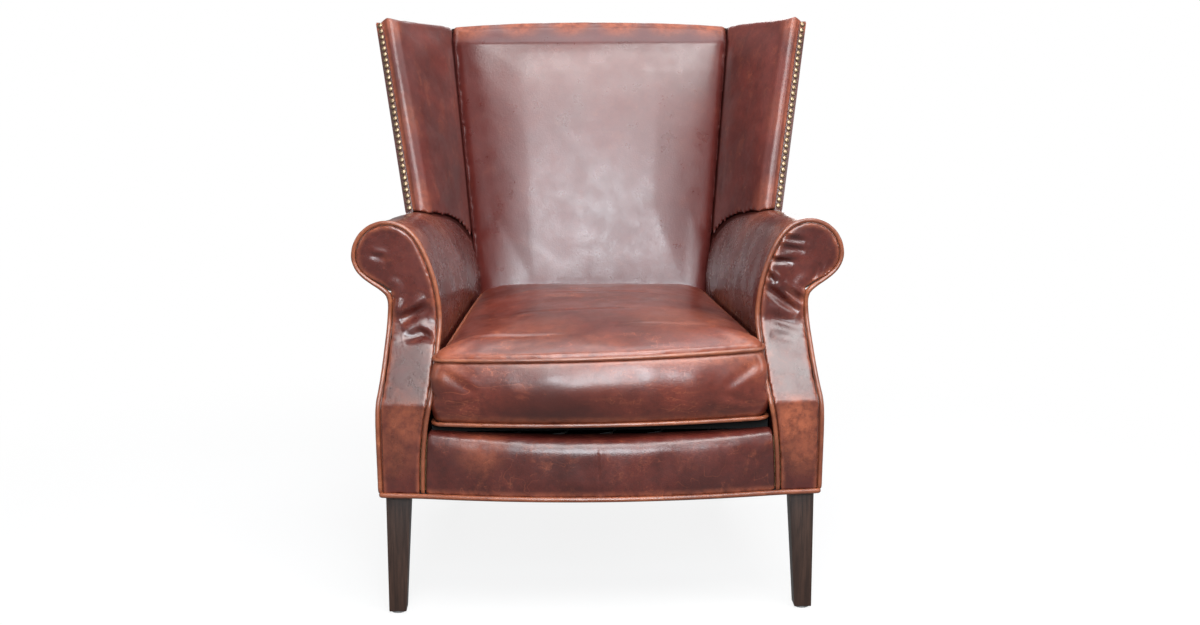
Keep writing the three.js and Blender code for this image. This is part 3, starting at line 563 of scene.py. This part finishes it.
def skew_cushion(piece):
    points = read_points(piece)
    rise = np.clip((points[:, 2] - SEAT_LOW - 0.012) / (SEAT_SEAM - SEAT_LOW), 0, 1)
    share = np.maximum(LEAST_SKEW_SHARE, rise)
    front = 1 - eased(points[:, 1], SEAT_FRONT + 0.1, SEAT_FRONT + 0.5)
    points[:, 2] += SKEW * points[:, 0] * share * front
    write_points(piece, points)


def spread_corners(piece):
    """The cushion's front bulges out ahead of the sloping arm fronts, and fills the width over the border."""
    points = read_points(piece)
    slope = BLOCK_FRONT + np.clip((points[:, 2] - KNEE_HEIGHT) / SLOPE_HEIGHT, 0, 1) * SLOPE_DEPTH
    ahead = eased(slope - 0.004 - points[:, 1], 0.0, 0.02)
    low = 1 - eased(points[:, 2], 0.345, 0.42)
    low = low * (1 - eased(points[:, 1], SEAT_FRONT + 0.08, SEAT_FRONT + 0.3))
    edge = np.clip(np.abs(points[:, 0]) / CUSHION_HALF, 0, 1.1) ** 4
    left = points[:, 0] < 0
    upper_spread = np.where(left, *UPPER_SPREAD) * ahead
    lower_spread = np.where(left, *LOWER_SPREAD) * low
    upper_wins = np.abs(upper_spread) > np.abs(lower_spread)
    points[:, 0] += edge * np.where(upper_wins, upper_spread, lower_spread)
    write_points(piece, points)


def make_cushion():
    body = pad_from(
        "seat_cushion", "seat_cushion_leather", grid=0.0065, cap=0.012, pressure=5.0, smooth=1
    )
    waves(body, 0.003, 0.11, 3.1, "seat_cushion")
    top = (0, 0, 1)
    front = (0, -1, 0)
    for start, end, depth in (
        ((-0.23, -0.33), (-0.05, -0.345), 0.0012),
        ((0.02, -0.3), (0.2, -0.32), 0.0012),
        ((-0.18, -0.2), (0.1, -0.21), 0.001),
        ((-0.1, -0.06), (0.16, -0.05), 0.001),
    ):
        fold(body, start, end, depth, 0.006, [0, 1], top)
    for start, end, depth in (
        ((-0.255, 0.43), (-0.2, 0.39), 0.0016),
        ((0.26, 0.43), (0.2, 0.395), 0.0018),
        ((0.25, 0.36), (0.19, 0.385), 0.0014),
        ((-0.25, 0.355), (-0.2, 0.38), 0.0014),
    ):
        fold(body, start, end, depth, 0.007, [0, 2], front)
    points = read_points(body)
    face = 1 - eased(points[:, 1], SEAT_FRONT + 0.004, SEAT_FRONT + 0.05)
    up = np.clip((points[:, 2] - SEAT_LOW - 0.006) / (SEAT_SEAM - SEAT_LOW - 0.008), 0, 1)
    middle = np.sin(up * math.pi)
    points[:, 1] -= CUSHION_CROWN * face * middle
    write_points(body, points)
    spread_corners(body)
    skew_cushion(body)
    spots = (
        ((-0.26, -0.37, 0.45), 0.07, 0.6),
        ((0.26, -0.37, 0.46), 0.08, 0.6),
        ((0.0, -0.4, 0.46), 0.09, 0.25),
        ((-0.12, -0.33, 0.485), 0.12, 0.28),
        ((0.15, -0.28, 0.49), 0.13, 0.28),
    )
    wear(body, spots, ["cushion_top_welt", "cushion_bottom_welt"], 0.016)
    dress(body, "cushion", "leather", "seat_cushion", fill=0.8)
    for name in ("cushion_top_welt", "cushion_bottom_welt"):
        welt = round_welt(name)
        spread_corners(welt)
        skew_cushion(welt)
        dress(welt, "piping", "piping", name)


def round_welt(node, swell=0.0):
    """The piping of one seam, made round and as thick as its solid."""
    welt = copy_of(node, f"{node}_piping")
    worked(welt, "SUBSURF", levels=2, render_levels=2)
    points = read_points(welt)
    write_points(welt, points + read_normals(welt) * swell)
    wear(welt)
    return welt


# Front border, back and wings


def make_border():
    border = pad_from("front_border", "front_border_leather", grid=0.005, cap=0.008, pressure=4.0)
    waves(border, 0.0016, 0.08, 5.2, "front_border")
    fold(border, (-0.008, 0.3), (-0.004, 0.225), 0.001, 0.004, [0, 2], (0, -1, 0))
    # Painted shade on the border's top, under the seat cushion
    wear(border, (((-0.2, -0.41, 0.3), 0.06, 0.35),), ["bottom_welt"], 0.014, ["seat_cushion"])
    dress(border, "border", "leather", "front_border", fill=0.6)
    welt = round_welt("bottom_welt", 0.0006)
    points = read_points(welt)
    points[:, 2] += 0.0018
    write_points(welt, points)
    dress(welt, "piping", "piping", "bottom_welt")


BACK_FOOT = 0.47
BACK_FOOT_HALF = 0.228
BACK_FLARE = 0.1006
BACK_TURN_START = 0.82
BACK_TURN_HEIGHT = 0.12
BACK_TURN_TOP = 0.006
BACK_MARGIN = (0.085, 0.048)
BACK_TURN_SIDES = (0.018, 0.011)


def round_back(piece):
    """The inside back turns away at its sides, the left one more, and slowly towards its rolled top."""
    points = read_points(piece)
    shown = eased(-read_normals(piece)[:, 1], 0.2, 0.6)
    half = BACK_FOOT_HALF + (points[:, 2] - BACK_FOOT) * BACK_FLARE
    left = points[:, 0] < 0
    margin = np.where(left, *BACK_MARGIN)
    turn = np.clip((np.abs(points[:, 0]) - half + margin) / margin, 0, 1) ** 3
    upper = np.clip((points[:, 2] - BACK_TURN_START) / BACK_TURN_HEIGHT, 0, 1) ** 2
    points[:, 1] += (np.where(left, *BACK_TURN_SIDES) * turn + BACK_TURN_TOP * upper) * shown
    write_points(piece, points)


def make_back():
    back = pad_from(
        "inside_back",
        "inside_back_leather",
        grid=0.007,
        cap=0.004,
        pressure=3.0,
        smooth=4,
        shaped=round_back,
        ironed=40,
    )
    waves(back, 0.0008, 0.24, 8.3, "inside_back")
    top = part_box("inside_back")[1]
    spots = [((x, top.y - 0.07, top.z - 0.004), 0.07, 0.8) for x in (-0.24, -0.14, -0.04, 0.06, 0.16, 0.24)]
    # Painted shade where the back meets the wings, the arms and the cushion
    walls = ["inside_wing_left", "inside_wing_right", "inside_arm_left", "inside_arm_right", "seat_cushion"]
    wear(back, spots, None, 0.012, walls)
    dress(back, "back", "leather", "inside_back", fill=0.6)


def make_wings():
    right = pad_from(
        "inside_wing_right",
        "inside_wing_leather_right",
        grid=0.0055,
        cap=0.006,
        pressure=2.5,
        smooth=8,
        ironed=40,
    )
    left = mirrored(right, "inside_wing_leather_left")
    for side, wing in zip(LEFT_AND_RIGHT, (left, right)):
        node = f"inside_wing_{side}"
        way = -1 if side == "left" else 1
        waves(wing, 0.002, 0.09, 11.0 + way, node)
        low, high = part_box(node)
        spots = (
            ((way * 0.395, 0.1, high.z), 0.07, 0.7),
            ((way * 0.33, -0.015, 0.66), 0.06, 0.35),
            ((way * 0.37, 0.04, 0.82), 0.07, 0.3),
        )
        # Painted shade where the wing meets the back
        walls = ["inside_back"]
        wear(wing, spots, [f"nail_band_{side}"], 0.012, walls)
        dress(wing, "wing", "leather", node, fill=0.6)


# Arms: the folds of each facing are its own


RIGHT_FACING_FOLDS = (
    ((0.278, 0.572), (0.3, 0.55), 0.0051, 0.0054),
    ((0.278, 0.548), (0.34, 0.497), 0.0075, 0.0084),
    ((0.305, 0.545), (0.356, 0.512), 0.0057, 0.0066),
    ((0.28, 0.497), (0.345, 0.474), 0.0036, 0.0095),
    ((0.286, 0.468), (0.335, 0.458), 0.0018, 0.0095),
    ((0.278, 0.59), (0.33, 0.586), 0.0048, 0.0054),
    ((0.3, 0.614), (0.35, 0.604), 0.0033, 0.0054),
    ((0.305, 0.63), (0.348, 0.62), 0.003, 0.0054),
    ((0.376, 0.585), (0.36, 0.54), 0.0051, 0.0078),
    ((0.395, 0.578), (0.376, 0.55), 0.0036, 0.0066),
)
LEFT_FACING_FOLDS = (
    ((-0.336, 0.49), (-0.282, 0.517), 0.0066, 0.009),
    ((-0.33, 0.464), (-0.284, 0.474), 0.0057, 0.0084),
    ((-0.308, 0.478), (-0.272, 0.458), 0.0036, 0.006),
    ((-0.346, 0.535), (-0.356, 0.5), 0.0051, 0.0066),
    ((-0.385, 0.602), (-0.355, 0.596), 0.0024, 0.0054),
)


def ease_slope_top(facing):
    """The facing bends softly where its slope meets the scroll. Its rim and its bend at the knee stay."""
    points = read_points(facing)
    heights = points[:, 2]
    inner = eased(reach(points, tree_of(["arm_facing_welt_right"]), 0.03), 0.005, 0.014)
    soften(facing, inner * eased(heights, 0.43, 0.465) * (1 - eased(heights, 0.51, 0.55)), 60)


def make_arms():
    facing_right = pad_from(
        "arm_facing_right",
        "arm_facing_leather_right",
        grid=0.0034,
        cap=0.006,
        pressure=4.0,
        smooth=1,
        shaped=ease_slope_top,
    )
    inside_right = pad_from(
        "inside_arm_right",
        "inside_arm_leather_right",
        grid=0.0065,
        cap=0.007,
        pressure=2.5,
        smooth=4,
        ironed=30,
    )
    facings = (mirrored(facing_right, "arm_facing_leather_left"), facing_right)
    insides = (mirrored(inside_right, "inside_arm_leather_left"), inside_right)
    folds = (LEFT_FACING_FOLDS, RIGHT_FACING_FOLDS)
    knee_strength = (0.5, 0.85)
    for side, facing, inside, own_folds, knee in zip(LEFT_AND_RIGHT, facings, insides, folds, knee_strength):
        way = -1 if side == "left" else 1
        for start, end, depth, width in own_folds:
            fold(facing, start, end, depth, width, [0, 2], (0, -1, 0))
        waves(facing, 0.0012, 0.05, 17.0 + way, f"arm_facing_{side}")
        corner = (way * NECK_CORNER[0], *NECK_CORNER[1:])
        swell_near(facing, corner, 0.022, 0.0016)
        welt_node = f"arm_facing_welt_{side}"
        spots = (
            ((way * 0.325, -0.4, 0.335), 0.062, knee),
            ((way * 0.345, -0.4, 0.29), 0.07, knee * 0.6),
            ((way * 0.375, -0.34, 0.43), 0.04, 0.5),
        )
        wear(facing, spots, [welt_node], 0.012)
        dress(facing, "arm", "leather", f"arm_facing_{side}", fill=0.5)
        waves(inside, 0.002, 0.1, 23.0 + way, f"inside_arm_{side}")
        spots = (
            ((way * 0.34, -0.27, 0.65), 0.09, 0.4),
            ((way * 0.33, -0.05, 0.64), 0.1, 0.3),
        )
        # Painted shade where the inside arm meets the wing, the back and the cushion
        walls = [f"inside_wing_{side}", "inside_back", "seat_cushion"]
        wear(inside, spots, [welt_node], 0.02, walls)
        dress(inside, "arm", "leather", f"inside_arm_{side}", fill=0.7)
        welt = round_welt(welt_node, 0.0003)
        swell_near(welt, corner, 0.03, 0.0014)
        dress(welt, "piping", "piping", welt_node)


# Flat outside panels
PANEL_EDGE = 0.024
PANEL_CREASE = math.radians(18)


def panel_from(node, name, puff=0.0025):
    """A flat leather panel over card: soft edges and a slight swell."""
    panel = copy_of(node, name)
    worked(panel, "BEVEL", width=0.0012, segments=2, limit_method="ANGLE", angle_limit=math.radians(35))
    pick(panel)
    for _ in range(5):
        bpy.ops.object.mode_set(mode="EDIT")
        bpy.ops.mesh.select_mode(type="EDGE")
        bpy.ops.mesh.select_all(action="DESELECT")
        bpy.ops.object.mode_set(mode="OBJECT")
        points = read_points(panel)
        ends = np.empty(len(panel.data.edges) * 2, int)
        panel.data.edges.foreach_get("vertices", ends)
        ends = ends.reshape(-1, 2)
        long = np.linalg.norm(points[ends[:, 0]] - points[ends[:, 1]], axis=1) > PANEL_EDGE
        if not long.any():
            break
        panel.data.edges.foreach_set("select", long)
        bpy.ops.object.mode_set(mode="EDIT")
        bpy.ops.mesh.subdivide(number_cuts=1)
        bpy.ops.mesh.select_all(action="SELECT")
        bpy.ops.mesh.quads_convert_to_tris()
        bpy.ops.object.mode_set(mode="OBJECT")
    bpy.ops.object.mode_set(mode="EDIT")
    bpy.ops.mesh.select_all(action="DESELECT")
    bpy.ops.mesh.edges_select_sharp(sharpness=PANEL_CREASE)
    bpy.ops.object.mode_set(mode="OBJECT")
    held = np.empty(len(panel.data.vertices), bool)
    panel.data.vertices.foreach_get("select", held)
    soften(panel, np.where(held, 0.0, 1.0), 16)
    points = read_points(panel)
    room = reach(points, tree_of([n for n in nodes if n != node]), 0.05)
    swell = puff * eased(room, 0.001, 0.04)
    offset = Vector((4.0, 1.0, 2.0))
    uneven = np.array([noise.noise(Vector(p) / 0.1 + offset) for p in points])
    swell = swell * (1 + 0.5 * uneven)
    write_points(panel, points + read_normals(panel) * swell[:, None])
    return panel


def make_panels():
    for side in LEFT_AND_RIGHT:
        for part in ("outside_arm", "outside_wing"):
            node = f"{part}_{side}"
            panel = panel_from(node, f"{part}_leather_{side}")
            wear(panel, (), ["bottom_welt", f"nail_band_{side}", f"arm_facing_welt_{side}"], 0.014)
            dress(panel, "panel", "leather", node, fill=0.2, angle=40)
    back = panel_from("outside_back", "outside_back_leather")
    wear(back, (), ["bottom_welt"], 0.014)
    dress(back, "panel", "leather", "outside_back", fill=0.2, angle=40)


# Wing edge: a strip of leather and its row of domed nails. Measures as in the wing's solids.
WING_FOOT = (0.349, 0.375, 0.637)
WING_FLARE = 0.178
WING_SWEEP = 0.44
WING_TOP = 0.984
WING_REAR_FOOT = (0.2853, 0.6161, 0.2133)
WING_REAR_FLARE = 0.0212
WING_REAR_SWEEP = 0.195
STRIP_WIDTH = 0.015
NAIL_RADIUS = 0.0053
NAIL_HEIGHT = 0.0034
NAIL_PITCH = 0.0118
NAIL_INSET = 0.0088
NAIL_AHEAD = 0.0027
STRIP_PARTS = 30


def wing_edge(height, ahead, inset):
    """A point near the right wing's front edge: how far ahead of it, and how far in from the outer face."""
    rise = height - WING_FOOT[2]
    front = Vector((WING_FOOT[0] + rise * WING_FLARE, WING_FOOT[1] + rise * WING_SWEEP))
    rear_rise = height - WING_REAR_FOOT[2]
    rear_across = WING_REAR_FOOT[0] + rear_rise * WING_REAR_FLARE
    rear = Vector((rear_across, WING_REAR_FOOT[1] + rear_rise * WING_REAR_SWEEP))
    back = (rear - front).normalized()
    spot = front - back * ahead + Vector((-back.y, back.x)) * inset
    return Vector((spot.x, spot.y + BLOCK_FRONT, height))


def make_nails():
    bpy.ops.object.select_all(action="DESELECT")
    bpy.ops.mesh.primitive_uv_sphere_add(segments=14, ring_count=8, radius=1)
    bpy.ops.object.mode_set(mode="EDIT")
    bpy.ops.mesh.select_all(action="SELECT")
    bpy.ops.mesh.bisect(plane_co=(0, 0, 0), plane_no=(0, 0, 1), use_fill=True, clear_inner=True)
    bpy.ops.object.mode_set(mode="OBJECT")
    dome = bpy.context.object
    low = wing_edge(WING_FOOT[2] + 0.011, NAIL_AHEAD, NAIL_INSET)
    top = wing_edge(WING_TOP - 0.004, NAIL_AHEAD, NAIL_INSET)
    count = int((top - low).length / NAIL_PITCH) + 1
    for side in LEFT_AND_RIGHT:
        way = -1 if side == "left" else 1
        row = []
        for i in range(count):
            height = low.z + (top.z - low.z) * i / (count - 1)
            drift = 0.0005 * noise.noise(Vector((i * 0.9, way * 3.0, 0.0)))
            place = wing_edge(height, NAIL_AHEAD, NAIL_INSET + drift)
            upward = (wing_edge(height + 0.01, NAIL_AHEAD, NAIL_INSET) - place).normalized()
            across = (wing_edge(height, NAIL_AHEAD, NAIL_INSET + 0.01) - place).normalized()
            out = across.cross(upward).normalized()
            out = -out if out.y > 0 else out
            turn = Matrix((across, out.cross(across), out)).transposed().to_4x4()
            size = Matrix.Diagonal((NAIL_RADIUS, NAIL_RADIUS, NAIL_HEIGHT, 1))
            nail = bpy.data.objects.new(f"nail_{side}_{i}", dome.data.copy())
            scene.collection.objects.link(nail)
            nail.data.transform(Matrix.Diagonal((way, 1, 1, 1)) @ Matrix.Translation(place) @ turn @ size)
            row.append(nail)
        bpy.ops.object.select_all(action="DESELECT")
        for nail in row:
            nail.select_set(True)
        bpy.context.view_layer.objects.active = row[0]
        bpy.ops.object.join()
        nails = bpy.context.object
        nails.name = f"wing_nails_{side}"
        bpy.ops.object.mode_set(mode="EDIT")
        bpy.ops.mesh.select_all(action="SELECT")
        bpy.ops.mesh.normals_make_consistent(inside=False)
        bpy.ops.object.mode_set(mode="OBJECT")
        dress(nails, "brass", "brass", f"nail_band_{side}")
        make_strip(side, way)
    bpy.data.objects.remove(dome)


def make_strip(side, way):
    """The leather strip under the nails, in a darker leather that paints the shade in the gaps between the
    nails.
    """
    bpy.ops.object.select_all(action="DESELECT")
    bpy.ops.mesh.primitive_cube_add(size=1, location=(0, 0, 0))
    strip = bpy.context.object
    strip.name = f"wing_edge_strip_{side}"
    bpy.ops.object.mode_set(mode="EDIT")
    for i in range(1, STRIP_PARTS):
        bpy.ops.mesh.select_all(action="SELECT")
        bpy.ops.mesh.bisect(plane_co=(0, 0, i / STRIP_PARTS - 0.5), plane_no=(0, 0, 1))
    bpy.ops.object.mode_set(mode="OBJECT")
    low = WING_FOOT[2] + 0.003
    points = read_points(strip)
    for index, (across, thick, along) in enumerate(points.copy()):
        height = low + (WING_TOP - low) * (along + 0.5)
        ahead = 0.0008 + 0.0018 * (0.5 - thick)
        place = wing_edge(height, ahead, STRIP_WIDTH * (across + 0.5))
        points[index] = (way * place.x, place.y, place.z)
    write_points(strip, points)
    pick(strip)
    bpy.ops.object.mode_set(mode="EDIT")
    bpy.ops.mesh.select_all(action="SELECT")
    bpy.ops.mesh.normals_make_consistent(inside=False)
    bpy.ops.object.mode_set(mode="OBJECT")
    worked(strip, "BEVEL", width=0.0006, segments=2, limit_method="ANGLE", angle_limit=math.radians(40))
    wear(strip, (((way * 0.41, 0.14, 0.985), 0.03, 0.6),))
    dress(strip, "edge", "leather", angle=40)


# Legs and what stays as a solid


def make_legs():
    for row in ("front", "rear"):
        for side in LEFT_AND_RIGHT:
            node = f"{row}_leg_{side}"
            leg = copy_of(node, f"{row}_leg_wood_{side}")
            worked(leg, "BEVEL", width=0.0016, segments=3, limit_method="ANGLE", angle_limit=math.radians(30))
            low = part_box(node)[0]
            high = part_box(node)[1]
            foot = ((low.x + high.x) / 2, (low.y + high.y) / 2, low.z)
            wear(leg, ((foot, 0.05, 0.5),))
            dress(leg, "leg", "leg_wood", node, angle=35)


def finish_hidden_solids():
    for name, solid in nodes.items():
        if "glide" in name or "spring" in name:
            finish = "steel"
        elif "strap" in name:
            finish = "webbing"
        elif name in ("seat_deck", "dust_cover"):
            finish = "cloth"
        elif "leg" in name:
            finish = "leg"
        elif any(word in name for word in ("rail", "block", "post", "board")):
            finish = "frame"
        else:
            continue
        solid.data.materials.clear()
        solid.data.materials.append(finishes[finish])


# Studio


GLOSS_SHARE = 0.3
LEAST_WORLD_LIGHT = 0.17


def background_share(tree):
    """How much of the white background a ray sees. Leather would look milky if its gloss saw all of it."""
    rays = add_node(tree, "ShaderNodeLightPath").outputs
    clear = sums(tree, "ADD", rays["Is Camera Ray"], rays["Is Transmission Ray"])
    glossy = sums(tree, "MULTIPLY", rays["Is Glossy Ray"], GLOSS_SHARE)
    return sums(tree, "MINIMUM", sums(tree, "ADD", clear, glossy), 1.0)


def set_studio():
    bpy.ops.object.select_all(action="DESELECT")
    bpy.ops.mesh.primitive_plane_add(size=30, location=(0, 0, 0))
    floor = bpy.context.object
    floor.name = "studio_floor"
    material, tree, shader = new_material("pale_floor")
    rays = add_node(tree, "ShaderNodeLightPath").outputs
    tone = blended(tree, rays["Is Camera Ray"], (0.08, 0.08, 0.08), (0.8, 0.8, 0.8))
    tree.links.new(tone, shader.inputs["Base Color"])
    shader.inputs["Roughness"].default_value = 0.9
    shader.inputs["Specular IOR Level"].default_value = 0.1
    spot = add_node(tree, "ShaderNodeTexCoord").outputs["Object"]
    away = add_node(tree, "ShaderNodeVectorMath", {0: spot}, operation="LENGTH").outputs["Value"]
    whiter = ramped(tree, away, 0.5, 1.8, 0.85, 1.0)
    seen = sums(tree, "MULTIPLY", background_share(tree), whiter)
    white = add_node(tree, "ShaderNodeEmission", {"Strength": 1.0})
    mix = add_node(tree, "ShaderNodeMixShader", {0: seen, 1: shader.outputs[0], 2: white.outputs[0]})
    tree.links.new(mix.outputs[0], tree.nodes["Material Output"].inputs["Surface"])
    floor.data.materials.append(material)

    world = bpy.data.worlds.new("studio")
    scene.world = world
    world.use_nodes = True
    tree = world.node_tree
    strength = sums(tree, "MAXIMUM", background_share(tree), LEAST_WORLD_LIGHT)
    background = tree.nodes["Background"]
    background.inputs["Color"].default_value = (1, 1, 1, 1)
    tree.links.new(strength, background.inputs["Strength"])

    cool = (0.88, 0.95, 1.0)
    plain = (1.0, 1.0, 1.0)
    for name, place, aim, width, height, power, tint in (
        ("top_softbox", (0.3, -1.75, 2.9), (0, -0.1, 0.55), 2.5, 1.5, 107, plain),
        ("front_softbox", (0.06, -3.3, 1.75), (0, 0, 0.75), 1.3, 1.35, 92, cool),
        ("overhead_softbox", (0.2, 0.5, 2.8), (0, -0.2, 0.5), 2.0, 1.6, 30, cool),
        ("side_softbox", (-2.6, -1.2, 1.7), (0, 0, 0.6), 1.0, 1.6, 8, plain),
        ("far_softbox", (2.6, -1.4, 1.7), (0, 0, 0.6), 1.0, 1.6, 24, plain),
        ("rear_softbox", (0.5, 3.2, 1.5), (0, 0, 0.6), 1.8, 1.4, 30, plain),
    ):
        data = bpy.data.lights.new(name, "AREA")
        data.shape = "RECTANGLE"
        data.size = width
        data.size_y = height
        data.energy = power
        data.color = tint
        lamp = bpy.data.objects.new(name, data)
        place = Vector(place)
        turn = (Vector(aim) - place).to_track_quat("-Z", "Y")
        lamp.matrix_world = Matrix.Translation(place) @ turn.to_matrix().to_4x4()
        scene.collection.objects.link(lamp)

    scene.view_settings.view_transform = "Standard"


set_camera()
set_studio()
finish_hidden_solids()
make_cushion()
make_border()
make_back()
make_wings()
make_arms()
make_panels()
make_nails()
make_legs()
